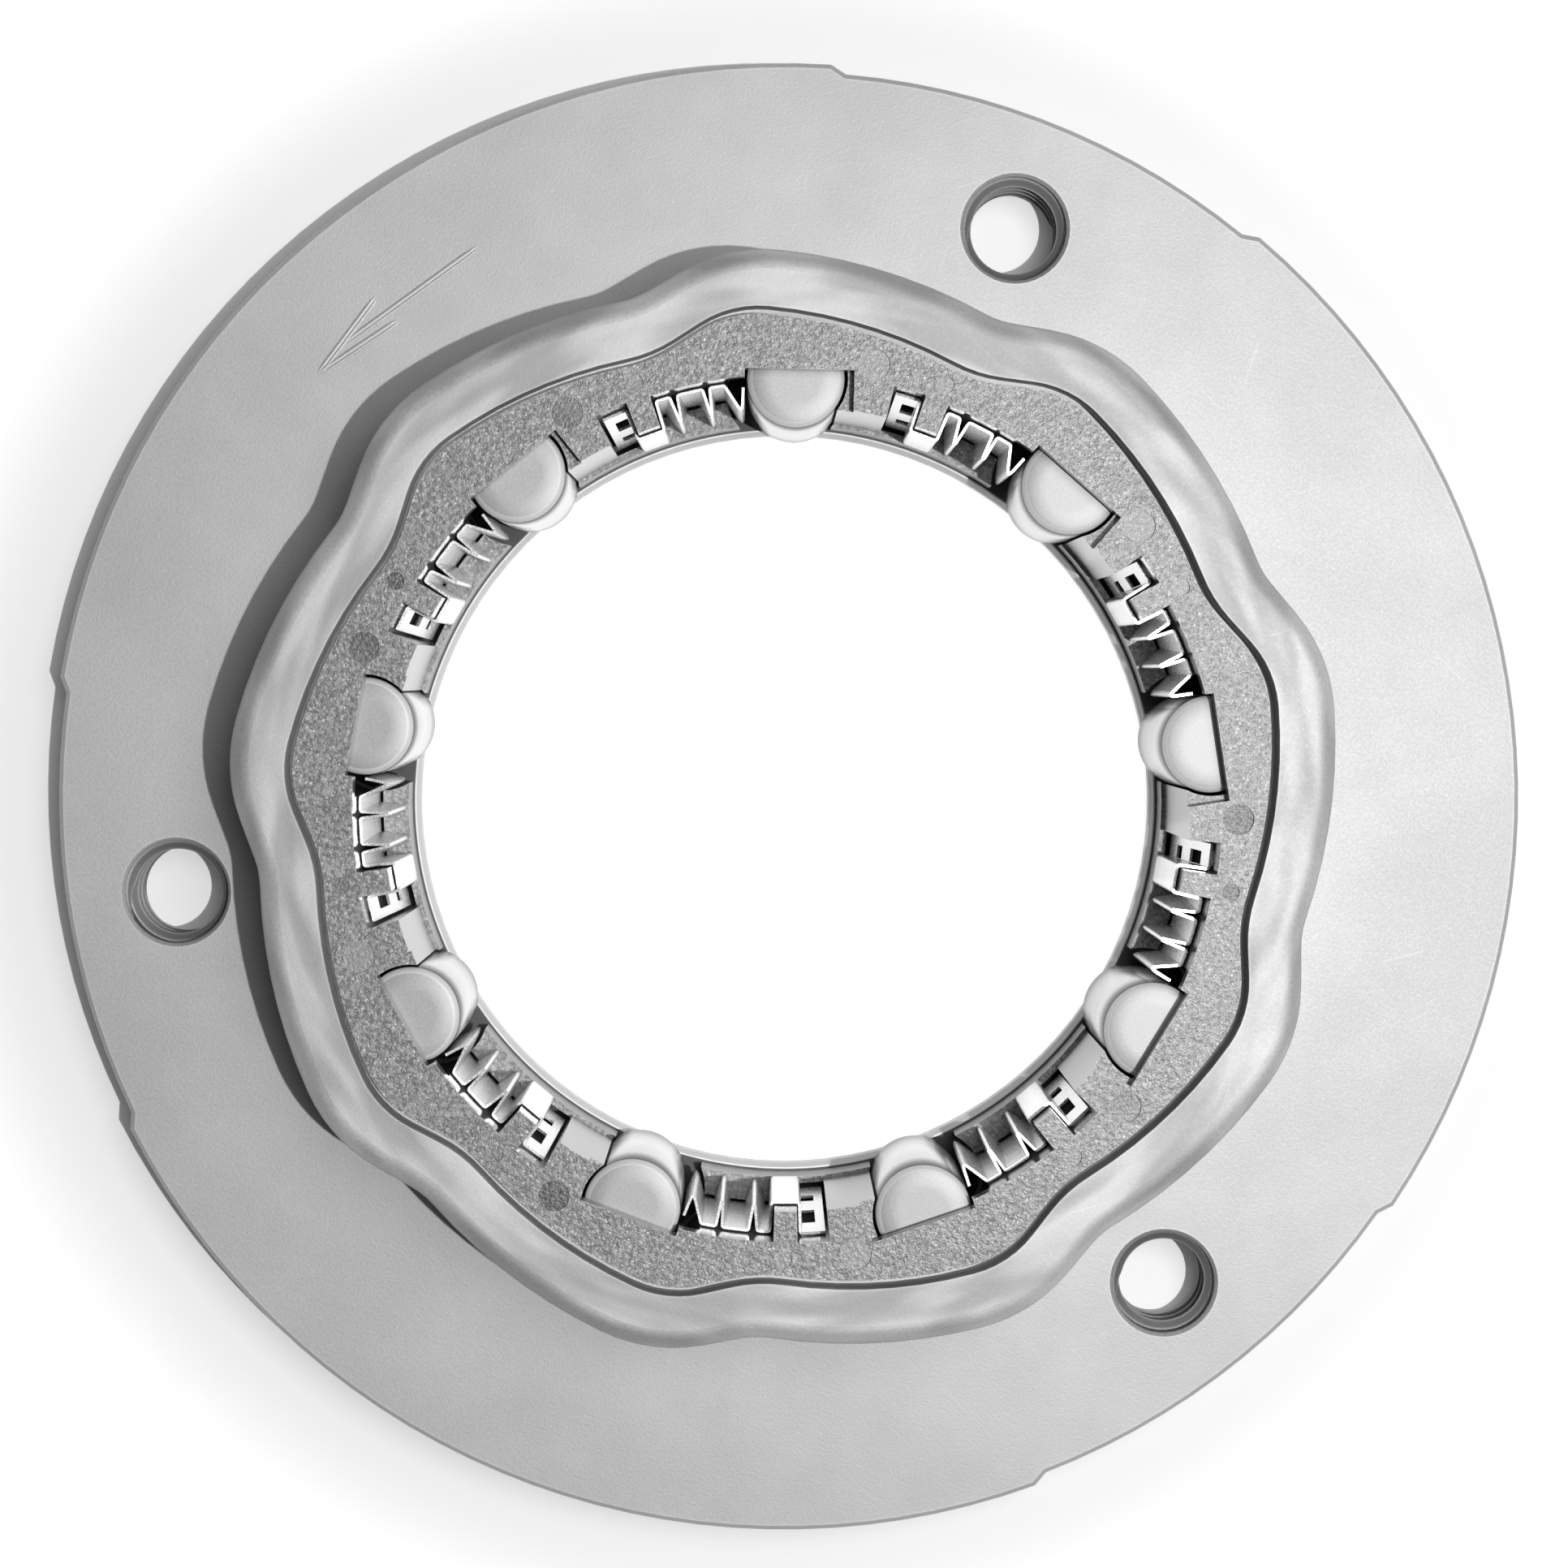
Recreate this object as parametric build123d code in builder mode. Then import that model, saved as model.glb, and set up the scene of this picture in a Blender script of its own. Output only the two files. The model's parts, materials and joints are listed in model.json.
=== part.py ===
"""Roller-type one-way clutch of a starter drive, in millimetres.

The clutch lies on its bolting face at z = 0, with its axis on +Z and the flange's tapped holes at 90, 210 and
330 degrees. Seen from above, the springs push the rollers clockwise, where the ramps close in on the hub.
"""
import os
from math import atan2, cos, hypot, radians, sin, sqrt

from build123d import *

# Hub that the rollers run on, which belongs to the starter gear
hub_d = 42.5

# Stations round the axis
stations = 9
pitch = 360 / stations
first_roller = 30.5

# Outer ring: flange and tapped holes
flange_d = 86.0
flange_t = 4.5
flange_edge = 0.3
bolt_count = 3
first_bolt = 90.0
thread_d = 6.0
thread_lead_in = 0.2
rim_step_depth = 0.5
rim_step_half_angle = 17.0
rim_step_slant = 1.2

# Outer ring: lobed wall, ramps and web
ring_h = 14.0
wall_t = 3.3
lobe_valley_out = 2.2
lobe_rise = 1.85
peak_angle = 7.7
valley_angle = -22.1
peak_round = 6.0
valley_round = 8.0
rim_round = 1.2
wall_foot_edge = 0.5
web_t = 1.0
web_edge = 0.25

# Rollers
roller_d = 5.5
roller_l = 11.0
roller_chamfer = 0.3
roller_travel = 1.1

# Cage
plate_t = 1.0
cage_ring_wall = 1.5
cage_ring_h = 2.0
cover_slot_out = 0.4
spring_window_depth = 1.7
clip_pocket_depth = 1.8
clip_lip_t = 0.4
ejector_out = 0.9
ejector_depth = 0.15
large_ejector_d = 1.75
small_ejector_d = 1.0

# Angles from a roller's centre, counter-clockwise
cover_slot_back = 7.7
spring_window_start = 6.8
clip_post_start = 19.5
small_ejector_angle = 20.8
clip_pocket_start = 22.7
clip_pocket_end = 27.0
large_ejector_angle = 30.1

# Springs: strip on edge, hooked round a post, with a sloping tab of three fingers in the clip pocket
strip_t = 0.15
strip_w = 8.1
spring_folds = 2
fold_fall = 0.36
fold_rise = 0.18
fold_tip_out = 0.1
first_flat_angle = 0.8
last_fall_angle = 1.1
tab_w = 1.4
tab_foot_out = 0.7
tab_finger = 0.8
tab_low_slot = 1.6
tab_low_slot_h = 1.0
tab_top_slot = 4.3
tab_top_slot_h = 2.3

# Clearances round the hub
web_gap = 0.5
cage_ring_gap = 0.95
post_gap = 1.15

# Clearances between the pieces
ramp_clearance = 0.2
roller_end_gap = 0.15
roller_side_gap = 0.15
cage_gap = 0.35
ledge_gap = 0.1
foot_gap = 0.1
clip_gap = 0.08
spring_seat_gap = 0.15
spring_end_gap = 0.2
spring_window_gap = 0.125

# Heights and radii that follow from the values above
hub_r = hub_d / 2
roller_r = roller_d / 2
roller_circle_r = hub_r + roller_r
roller_z = web_t + roller_end_gap
plate_z = roller_z + roller_l + roller_end_gap
plate_top = plate_z + plate_t
ledge_z = plate_z - ledge_gap
cage_ring_top = web_t + cage_ring_h
strip_z = cage_ring_top + spring_seat_gap
web_bore_r = hub_r + web_gap
cage_ring_bore_r = hub_r + cage_ring_gap
cage_ring_outer_r = cage_ring_bore_r + cage_ring_wall
post_face_r = hub_r + post_gap
cover_slot_r = roller_circle_r + cover_slot_out
spring_window_r = post_face_r + spring_window_depth
clip_pocket_r = post_face_r + clip_pocket_depth
clip_lip_r = cage_ring_bore_r + clip_lip_t
ejector_r = clip_pocket_r + ejector_out
hook_r = post_face_r - clip_gap - strip_t / 2
spring_inner_r = hook_r + fold_tip_out
spring_outer_r = spring_window_r - spring_window_gap - strip_t / 2
tab_foot_r = hook_r + tab_foot_out
tab_top_r = sqrt((clip_pocket_r - clip_gap) ** 2 - tab_w ** 2) - strip_t / 2
foot_reach = roller_r + foot_gap + strip_t / 2
lobe_valley_r = roller_circle_r + lobe_valley_out
lobe_peak_r = lobe_valley_r + lobe_rise
stepped_rim_r = flange_d / 2 - rim_step_depth
bolt_circle_r = (stepped_rim_r + lobe_valley_r + wall_t) / 2
roller_share = peak_angle / (peak_angle - valley_angle)
rim_at_roller = lobe_peak_r - lobe_rise * roller_share
ramp_step = rim_at_roller - (roller_circle_r + roller_r + ramp_clearance)


def polar(radius, angle):
    """Point at a radius and an angle in degrees."""
    return (radius * cos(radians(angle)), radius * sin(radians(angle)))


def lobed_face(shift):
    """The nine-lobed outline as a face, moved out by a shift: a long ramp and a short riser in each lobe."""
    with BuildSketch() as face:
        with BuildLine():
            for lobe in range(stations):
                roller_angle = first_roller - pitch * lobe
                peak = polar(lobe_peak_r + shift, roller_angle + peak_angle)
                middle_r = (lobe_peak_r + lobe_valley_r) / 2 + shift
                middle = polar(middle_r, roller_angle + (peak_angle + valley_angle) / 2)
                valley = polar(lobe_valley_r + shift, roller_angle + valley_angle)
                ThreePointArc(peak, middle, valley)
                Line(valley, polar(lobe_peak_r + shift, roller_angle + peak_angle - pitch))
        make_face()
        fillet(face.vertices().sort_by(SortBy.DISTANCE)[:stations], radius=valley_round - shift)
        fillet(face.vertices().sort_by(SortBy.DISTANCE)[-stations:], radius=peak_round + shift)
    return face.sketch


def sector(inner, outer, start, end):
    """Ring sector between two radii and two angles, for use in a pattern."""
    with BuildSketch() as piece:
        with BuildLine():
            CenterArc((0, 0), inner, start, end - start)
            CenterArc((0, 0), outer, start, end - start)
            Line(polar(inner, start), polar(outer, start))
            Line(polar(inner, end), polar(outer, end))
        make_face()
    return piece.sketch


def round_edges(part, radius):
    """Circular edges of a radius."""
    return part.edges().filter_by(GeomType.CIRCLE).filter_by(lambda edge: abs(edge.radius - radius) < 1e-3)


parts = []


# Lobed outlines, from the outside in
wall_outline = lobed_face(wall_t)
recess_outline = lobed_face(0)
plate_outline = lobed_face(-cage_gap)
ramp_outline = lobed_face(-ramp_step)
cage_outline = lobed_face(-ramp_step - cage_gap)

# Outer ring
with BuildPart() as outer_ring:
    with BuildSketch():
        with BuildLine():
            for bolt in range(bolt_count):
                middle = first_bolt + bolt * 360 / bolt_count
                near, far = rim_step_half_angle, rim_step_half_angle + rim_step_slant
                step_start, step_end = polar(stepped_rim_r, middle - near), polar(stepped_rim_r, middle + near)
                rim_start = polar(flange_d / 2, middle + far)
                rim_middle = polar(flange_d / 2, middle + 180 / bolt_count)
                rim_end = polar(flange_d / 2, middle + 360 / bolt_count - far)
                Line(polar(flange_d / 2, middle - far), step_start)
                ThreePointArc(step_start, polar(stepped_rim_r, middle), step_end)
                Line(step_end, rim_start)
                ThreePointArc(rim_start, rim_middle, rim_end)
        make_face()
    extrude(amount=flange_t)
    chamfer(outer_ring.faces().filter_by(Axis.Z).edges(), length=flange_edge)
    with BuildSketch(Plane.XY.offset(flange_t)):
        add(wall_outline)
    extrude(amount=ring_h - flange_t)
    flange_top = outer_ring.faces().filter_by(Axis.Z).sort_by(Axis.Z)[-2]
    chamfer(flange_top.inner_wires()[0].edges(), length=wall_foot_edge)
    fillet(outer_ring.faces().sort_by(Axis.Z)[-1].edges(), radius=rim_round)
    with BuildSketch(Plane.XY.offset(web_t)):
        add(ramp_outline)
    extrude(amount=ledge_z - web_t, mode=Mode.SUBTRACT)
    with BuildSketch(Plane.XY.offset(ledge_z)):
        add(recess_outline)
    extrude(amount=ring_h - ledge_z, mode=Mode.SUBTRACT)
    with BuildSketch():
        Circle(web_bore_r)
        with PolarLocations(bolt_circle_r, bolt_count, first_bolt):
            Circle(thread_d / 2)
    extrude(amount=flange_t, mode=Mode.SUBTRACT)
    chamfer(round_edges(outer_ring, thread_d / 2), length=thread_lead_in)
    chamfer(round_edges(outer_ring, web_bore_r).sort_by(Axis.Z)[-1], length=web_edge)
outer_ring.part.label = "outer_ring"
parts.append(outer_ring.part)

# Patterns of the cage
spring_window = sector(post_face_r - 1, spring_window_r, spring_window_start - 2, clip_post_start)
spring_floor = sector(cage_ring_outer_r, spring_window_r, spring_window_start - 2, clip_post_start)
clip_window = sector(post_face_r - 1, clip_pocket_r, clip_pocket_start, clip_pocket_end)
clip_floor = sector(clip_lip_r, clip_pocket_r, clip_pocket_start, clip_pocket_end)

# Cage
with BuildPart() as cage:
    with BuildSketch(Plane.XY.offset(web_t)):
        add(cage_outline)
    extrude(amount=plate_z - web_t)
    with BuildSketch(Plane.XY.offset(plate_z)):
        add(plate_outline)
    extrude(amount=plate_t)
    with BuildSketch(Plane.XY.offset(web_t)):
        Circle(cage_ring_bore_r)
    extrude(amount=cage_ring_h, mode=Mode.SUBTRACT)
    with BuildSketch(Plane.XY.offset(cage_ring_top)):
        Circle(post_face_r)
        with PolarLocations(0, stations, first_roller):
            add(spring_window)
            add(clip_window)
    extrude(amount=plate_top - cage_ring_top, mode=Mode.SUBTRACT)
    with BuildSketch(Plane.XY.offset(web_t)):
        with PolarLocations(0, stations, first_roller):
            add(spring_floor)
            add(clip_floor)
    extrude(amount=cage_ring_h, mode=Mode.SUBTRACT)
    with BuildSketch(Plane.XY.offset(web_t)):
        with PolarLocations(roller_circle_r, stations, first_roller):
            with Locations((0, roller_travel / 2)):
                SlotCenterToCenter(roller_travel, roller_d + 2 * roller_side_gap, rotation=90)
    extrude(amount=plate_z - web_t, mode=Mode.SUBTRACT)
    cover_back = roller_circle_r * sin(radians(cover_slot_back))
    cover_front = roller_circle_r * sin(radians(spring_window_start))
    with BuildSketch(Plane.XY.offset(plate_z)):
        with PolarLocations(0, stations, first_roller):
            with Locations((cover_slot_r, -cover_back)):
                Rectangle(cover_slot_r - post_face_r + 1, cover_back + cover_front, align=(Align.MAX, Align.MIN))
    extrude(amount=plate_t, mode=Mode.SUBTRACT)
    with BuildSketch(Plane.XY.offset(plate_top)):
        with PolarLocations(ejector_r, stations, first_roller + large_ejector_angle):
            Circle(large_ejector_d / 2)
        with PolarLocations(ejector_r, stations, first_roller + small_ejector_angle):
            Circle(small_ejector_d / 2)
    extrude(amount=-ejector_depth, mode=Mode.SUBTRACT)
cage.part.label = "cage"
parts.append(cage.part)


def make_roller(number, angle):
    """One roller with chamfered ends, standing on its station."""
    with BuildPart() as roller:
        with BuildSketch(Plane.XY.offset(roller_z)):
            with Locations(polar(roller_circle_r, angle)):
                Circle(roller_r)
        extrude(amount=roller_l)
        chamfer(roller.edges().filter_by(GeomType.CIRCLE), length=roller_chamfer)
    roller.part.label = f"roller_{number}"
    return roller.part


def arc_angle(length, radius):
    """Angle in degrees of a short arc at a radius."""
    return length / radians(radius)


def hook_angles(angle):
    """Angles of the hook's legs, in front of its post and behind it."""
    leg_gap = arc_angle(clip_gap + strip_t / 2, post_face_r)
    return angle + clip_post_start - leg_gap, angle + clip_pocket_start + leg_gap


def spring_route(angle):
    """Middle line of a spring's folded strip in plan, from behind its post to the end by the foot."""
    front_leg, back_leg = hook_angles(angle)
    last_tip = angle + arc_angle(foot_reach + strip_t + spring_end_gap, spring_inner_r)
    last_flat = last_tip + last_fall_angle
    fold_start = front_leg - first_flat_angle
    fold_pitch = (fold_start - last_flat) / spring_folds
    route = [
        polar(hook_r, back_leg),
        polar(hook_r, front_leg),
        polar(spring_outer_r, front_leg),
    ]
    for fold in range(spring_folds):
        flat_end = fold_start - fold_pitch * fold
        route.append(polar(spring_outer_r, flat_end))
        route.append(polar(spring_inner_r, flat_end - fold_pitch * fold_fall))
        route.append(polar(spring_outer_r, flat_end - fold_pitch * (fold_fall + fold_rise)))
    route.append(polar(spring_outer_r, last_flat))
    route.append(polar(spring_inner_r, last_tip))
    return route


def strip_side(route, side):
    """A side of the strip: the route moved sideways by half the strip's thickness, mitred at each bend."""
    points = [Vector(*point) for point in route]
    normals = []
    for start, end in zip(points, points[1:]):
        along = (end - start).normalized()
        normals.append(Vector(-along.Y, along.X))
    outline = []
    for point, before, after in zip(points, normals[:1] + normals, normals + normals[-1:]):
        outline.append(point + (before + after) * (side * strip_t / 2 / (1 + before.dot(after))))
    return outline


def make_spring(number, angle):
    """The folded part of a spring: folds up to the foot, hook round its post, and sloping tab behind it."""
    back_leg = hook_angles(angle)[1]
    slope = atan2(tab_top_r - tab_foot_r, strip_w)
    leg_plane = Plane(origin=(0, 0, strip_z), x_dir=(*polar(1, back_leg), 0), z_dir=(*polar(1, back_leg - 90), 0))
    tab_plane = Plane(
        origin=(*polar(tab_foot_r, back_leg), strip_z),
        x_dir=(*polar(1, back_leg + 90), 0),
        z_dir=(*polar(cos(slope), back_leg), -sin(slope)),
    )
    with BuildPart() as spring:
        with BuildSketch(Plane.XY.offset(strip_z)):
            with BuildLine():
                route = spring_route(angle)
                Polyline(*strip_side(route, 1), *reversed(strip_side(route, -1)), close=True)
            make_face()
        extrude(amount=strip_w)
        with BuildSketch(leg_plane):
            with BuildLine():
                inner = hook_r - strip_t / 2
                Polyline((inner, 0), (tab_foot_r, 0), (tab_top_r, strip_w), (inner, strip_w), close=True)
            make_face()
        extrude(amount=strip_t / 2, both=True)
        with BuildSketch(tab_plane):
            Rectangle(tab_w, hypot(tab_top_r - tab_foot_r, strip_w), align=Align.MIN)
            for slot, slot_h in ((tab_low_slot, tab_low_slot_h), (tab_top_slot, tab_top_slot_h)):
                with Locations((strip_t / 2, slot)):
                    Rectangle(tab_finger, slot_h, align=Align.MIN, mode=Mode.SUBTRACT)
        extrude(amount=strip_t / 2, both=True)
    spring.part.label = f"spring_{number}"
    return spring.part


def make_foot(number, angle):
    """The end leaf of a spring, which bears on the roller's side."""
    farthest = foot_reach + strip_t / 2 + roller_travel
    inner, outer = spring_inner_r - strip_t / 2, sqrt((spring_window_r - foot_gap) ** 2 - farthest ** 2)
    middle_r = (inner + outer) / 2
    middle = Vector(*polar(middle_r, angle)) + Vector(*polar(foot_reach, angle + 90))
    with BuildPart() as foot:
        with BuildSketch(Plane.XY.offset(strip_z)):
            with Locations(Location((middle.X, middle.Y, 0), (0, 0, angle))):
                Rectangle(outer - inner, strip_t)
        extrude(amount=strip_w)
    foot.part.label = f"spring_foot_{number}"
    return foot.part


for number in range(1, stations + 1):
    station = first_roller + (number - 1) * pitch
    parts.append(make_roller(number, station))
    parts.append(make_spring(number, station))
    parts.append(make_foot(number, station))

os.makedirs("parts", exist_ok=True)
for part in parts:
    export_step(part, f"parts/{part.label}.step")
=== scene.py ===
import json
import math
import random

import bmesh
import bpy
from bpy.props import FloatProperty, FloatVectorProperty, PointerProperty
from mathutils import Matrix, Vector


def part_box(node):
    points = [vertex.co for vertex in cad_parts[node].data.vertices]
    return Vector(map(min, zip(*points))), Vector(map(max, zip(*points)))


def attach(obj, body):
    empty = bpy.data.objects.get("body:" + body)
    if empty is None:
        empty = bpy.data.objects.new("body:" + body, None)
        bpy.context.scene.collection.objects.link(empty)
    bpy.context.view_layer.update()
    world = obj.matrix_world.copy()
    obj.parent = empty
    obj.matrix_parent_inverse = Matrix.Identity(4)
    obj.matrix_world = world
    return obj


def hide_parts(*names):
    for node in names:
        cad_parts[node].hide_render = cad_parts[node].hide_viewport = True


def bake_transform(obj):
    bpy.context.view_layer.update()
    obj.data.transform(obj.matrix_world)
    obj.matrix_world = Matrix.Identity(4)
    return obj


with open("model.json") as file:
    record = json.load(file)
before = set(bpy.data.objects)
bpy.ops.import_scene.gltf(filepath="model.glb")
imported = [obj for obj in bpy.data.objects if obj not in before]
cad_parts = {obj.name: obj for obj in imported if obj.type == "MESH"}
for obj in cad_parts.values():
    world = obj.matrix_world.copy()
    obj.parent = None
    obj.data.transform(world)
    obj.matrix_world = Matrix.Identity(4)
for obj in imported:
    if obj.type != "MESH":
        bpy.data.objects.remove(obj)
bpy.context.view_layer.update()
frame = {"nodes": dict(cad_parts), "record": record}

bl_info = {
    "name": "One-way roller clutch",
    "version": (1, 0, 0),
    "blender": (4, 5, 0),
    "location": "View3D > Sidebar > Clutch",
    "description": "Finishes, springs, threads and stage of a one-way roller clutch",
    "category": "Object",
}

MM = 0.001
STATIONS = sum(1 for name in frame["nodes"] if name.startswith("roller_"))
MOUNTS = {mount["name"]: mount["dims"] for mount in frame["record"]["mounts"]}
BOLTS = MOUNTS["flange_bolts"]
BOLT_CIRCLE_R = BOLTS["pcd_mm"] / 2 * MM
BOLT_HOLE_R = BOLTS["hole_r_mm"] * MM
BOLT_ANGLE = 90

# Middle radius of the rim, at which the bands in its finish have their full length
RIM_R = 29 * MM

# Places where a finish or a painted light or shade changes: radii from the clutch's axis, heights
# above its bolting face
RIM_HEIGHTS = (12.6 * MM, 13.6 * MM)
WEB_TOP = (1.05 * MM, 1.1 * MM)
WEB_CORNER_SHADE_R = (22.04 * MM, 22.12 * MM)
WEB_LIP_LIGHT_R = (22.04 * MM, 22.1 * MM)
HOLE_MOUTH = (4.25 * MM, 4.45 * MM)
CAGE_FOOT_TOP = (3.0 * MM, 3.1 * MM)
EJECTOR_FLOOR = (13.05 * MM, 13.1 * MM)
PLATE_TOP = (13.2 * MM, 13.25 * MM)
BORE_R = (21.5 * MM, 22.5 * MM)
TABLE_GLOW_R = (45 * MM, 55 * MM)
TABLE_FAR_R = (80 * MM, 400 * MM)

# Distances outside a bolt hole's wall within which its painted shade ends
HOLE_EDGE = (0.02 * MM, 0.08 * MM)


def box_middle(name):
    """Middle of a CAD node's box."""
    low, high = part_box(name)
    return (low + high) / 2


def polar(radius, angle, z=0.0):
    """Point at a radius, an angle in degrees and a height."""
    turn = math.radians(angle)
    return Vector((radius * math.cos(turn), radius * math.sin(turn), z))


def station_angle(number):
    """Angle of a roller about the clutch's axis, in degrees."""
    middle = box_middle(f"roller_{number}")
    return math.degrees(math.atan2(middle.y, middle.x))


# Sizes and colours that a user may change

def length_setting(name, value, description):
    """Property of a length in metres, given in millimetres."""
    return FloatProperty(name=name, description=description, default=value * MM, min=0.0,
                         unit="LENGTH", precision=5)


def colour_setting(name, value, description):
    """Property of a plain colour."""
    return FloatVectorProperty(name=name, description=description, default=value, size=3,
                               subtype="COLOR", min=0.0, max=1.0)


def power_setting(name, value, description):
    """Property of a lamp's power or a light level."""
    return FloatProperty(name=name, description=description, default=value, min=0.0)


def angle_setting(name, value, description):
    """Property of an angle, given in degrees."""
    return FloatProperty(name=name, description=description, default=math.radians(value),
                         subtype="ANGLE")


class ClutchSizes(bpy.types.PropertyGroup):
    """Sizes of the pieces made here."""
    thread_pitch: length_setting("Thread pitch", 1.0, "Pitch of the tapped holes")
    thread_minor_r: length_setting("Thread minor radius", 2.5,
                                   "Radius at the crests of the tapped holes")
    thread_crest: length_setting("Thread crest", 0.10, "Width of the flat on a thread's crest")
    strip_t: length_setting("Strip thickness", 0.15, "Thickness of the spring strip")
    hook_r: length_setting("Hook radius", 22.25,
                           "Radius of the hook's middle line round its post")
    strip_inner_r: length_setting("Fold inner radius", 22.42,
                                  "Radius of the inner folds' middle line")
    strip_outer_r: length_setting("Fold outer radius", 23.93,
                                  "Radius of the outer folds' middle line")
    tab_top_r: length_setting("Tab top radius", 24.03,
                              "Radius of the tab at the strip's upper edge")
    tab_low_r: length_setting("Tab lower radius", 22.95,
                              "Radius of the tab at the strip's lower edge")
    bend_r: length_setting("Bend radius", 0.16, "Radius of the strip's bends")
    engraving_w: length_setting("Engraving width", 0.26,
                                "Width of an engraved line between its lips")
    engraving_lip: length_setting("Engraving lip", 0.06,
                                  "Height of the raised lips of an engraved line")


class ClutchColours(bpy.types.PropertyGroup):
    """Colours of the finishes."""
    steel: colour_setting("Ring steel", (0.49, 0.49, 0.49), "Satin steel of the outer ring")
    steel_light: colour_setting("Ring steel, light", (0.54, 0.54, 0.54),
                                "Lighter patches of the outer ring")
    roller: colour_setting("Roller steel", (0.66, 0.66, 0.66), "Ground steel of the rollers")
    spring: colour_setting("Spring steel", (0.92, 0.92, 0.92), "Bright strip of the springs")
    cage: colour_setting("Cage plastic", (0.13, 0.13, 0.13), "Plastic between the glass fibres")
    fibre: colour_setting("Glass fibre", (0.55, 0.55, 0.55), "Glass fibres at the cage's surface")
    floor: colour_setting("Floor", (0.93, 0.93, 0.93), "Table under the clutch")


class ClutchStage(bpy.types.PropertyGroup):
    """Lamps, surroundings and camera."""
    key_power: power_setting("Lamp power", 0.54, "Power of the main lamp in watts")
    key_size: length_setting("Lamp size", 4.0, "Width of the main lamp")
    key_distance: length_setting("Lamp distance", 300.0,
                                 "Distance of the main lamp from the clutch")
    key_azimuth: angle_setting("Lamp azimuth", 9.0, "Direction of the main lamp round the clutch")
    key_elevation: angle_setting("Lamp elevation", 75.9,
                                 "Height of the main lamp above the horizon")
    fill_power: power_setting("Fill power", 0.28, "Power of the soft lamp in watts")
    fill_size: length_setting("Fill size", 150.0, "Width of the soft lamp")
    fill_distance: length_setting("Fill distance", 300.0,
                                  "Distance of the soft lamp from the clutch")
    fill_azimuth: angle_setting("Fill azimuth", 55.0,
                                "Direction of the soft lamp round the clutch")
    fill_elevation: angle_setting("Fill elevation", 72.0,
                                  "Height of the soft lamp above the horizon")
    surroundings: power_setting("Surroundings", 0.05, "Level of the light from all round")
    lens: FloatProperty(name="Focal length", description="Focal length in millimetres",
                        default=66.99, min=1.0)
    camera_place: FloatVectorProperty(name="Camera place", description="Place of the camera",
                                      default=(-3.93 * MM, 6.64 * MM, 175.0 * MM), size=3,
                                      subtype="TRANSLATION")
    floor_size: length_setting("Floor size", 1400.0, "Width of the table")


# Shader helpers

FLOAT_SOCKET = "NodeSocketFloat"


def add_node(tree, kind, inputs=None, **settings):
    """Shader node with its settings and plain input values."""
    made = tree.nodes.new(kind)
    for name, value in settings.items():
        setattr(made, name, value)
    for name, value in (inputs or {}).items():
        made.inputs[name].default_value = value
    return made


def link(tree, source, target):
    """Join an output socket to an input socket."""
    tree.links.new(source, target)


def calculate(tree, operation, first, second=None, third=None, clamp=False):
    """Math node; an argument is a socket or a number."""
    made = add_node(tree, "ShaderNodeMath", operation=operation, use_clamp=clamp)
    for index, value in enumerate((first, second, third)):
        if value is None:
            continue
        if isinstance(value, (int, float)):
            made.inputs[index].default_value = value
        else:
            link(tree, value, made.inputs[index])
    return made.outputs[0]


def remap(tree, value, low, high, new_low=0.0, new_high=1.0):
    """Value moved from one span to another, held at its ends."""
    made = add_node(tree, "ShaderNodeMapRange", {1: low, 2: high, 3: new_low, 4: new_high},
                    interpolation_type="SMOOTHSTEP")
    link(tree, value, made.inputs[0])
    return made.outputs[0]


def mix_colour(tree, factor, first, second, blend="MIX"):
    """Mix of two colours; the factor is a socket or a number, the others are sockets or colours."""
    made = add_node(tree, "ShaderNodeMix", data_type="RGBA", blend_type=blend)
    for index, value in ((0, factor), (6, first), (7, second)):
        if isinstance(value, (int, float)):
            made.inputs[index].default_value = value
        elif isinstance(value, bpy.types.NodeSocket):
            link(tree, value, made.inputs[index])
        else:
            made.inputs[index].default_value = (*value, 1.0)
    return made.outputs[2]


def grey(tone):
    """Plain grey colour."""
    return tone, tone, tone


def tint(tree, base, mask, share, tone):
    """Colour moved towards a grey: by a share of the way where the mask is full."""
    return mix_colour(tree, calculate(tree, "MULTIPLY", mask, share), base, grey(tone))


def new_group(name, inputs, outputs):
    """Shader node group with float inputs and named outputs."""
    group = bpy.data.node_groups.new(name, "ShaderNodeTree")
    for socket, value in inputs.items():
        made = group.interface.new_socket(name=socket, in_out="INPUT", socket_type=FLOAT_SOCKET)
        made.default_value = value
    for socket in outputs:
        group.interface.new_socket(name=socket, in_out="OUTPUT", socket_type=FLOAT_SOCKET)
    given = group.nodes.new("NodeGroupInput").outputs
    return group, given, group.nodes.new("NodeGroupOutput").inputs


def object_place(tree):
    """Place of a point in the clutch's frame."""
    return add_node(tree, "ShaderNodeTexCoord").outputs["Object"]


def noise(tree, vector, scale, detail=2.0, roughness=0.5):
    """Noise value at a place; the scale is a socket or a number."""
    made = add_node(tree, "ShaderNodeTexNoise", {"Detail": detail, "Roughness": roughness})
    link(tree, vector, made.inputs["Vector"])
    if isinstance(scale, (int, float)):
        made.inputs["Scale"].default_value = scale
    else:
        link(tree, scale, made.inputs["Scale"])
    return made.outputs["Fac"]


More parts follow.
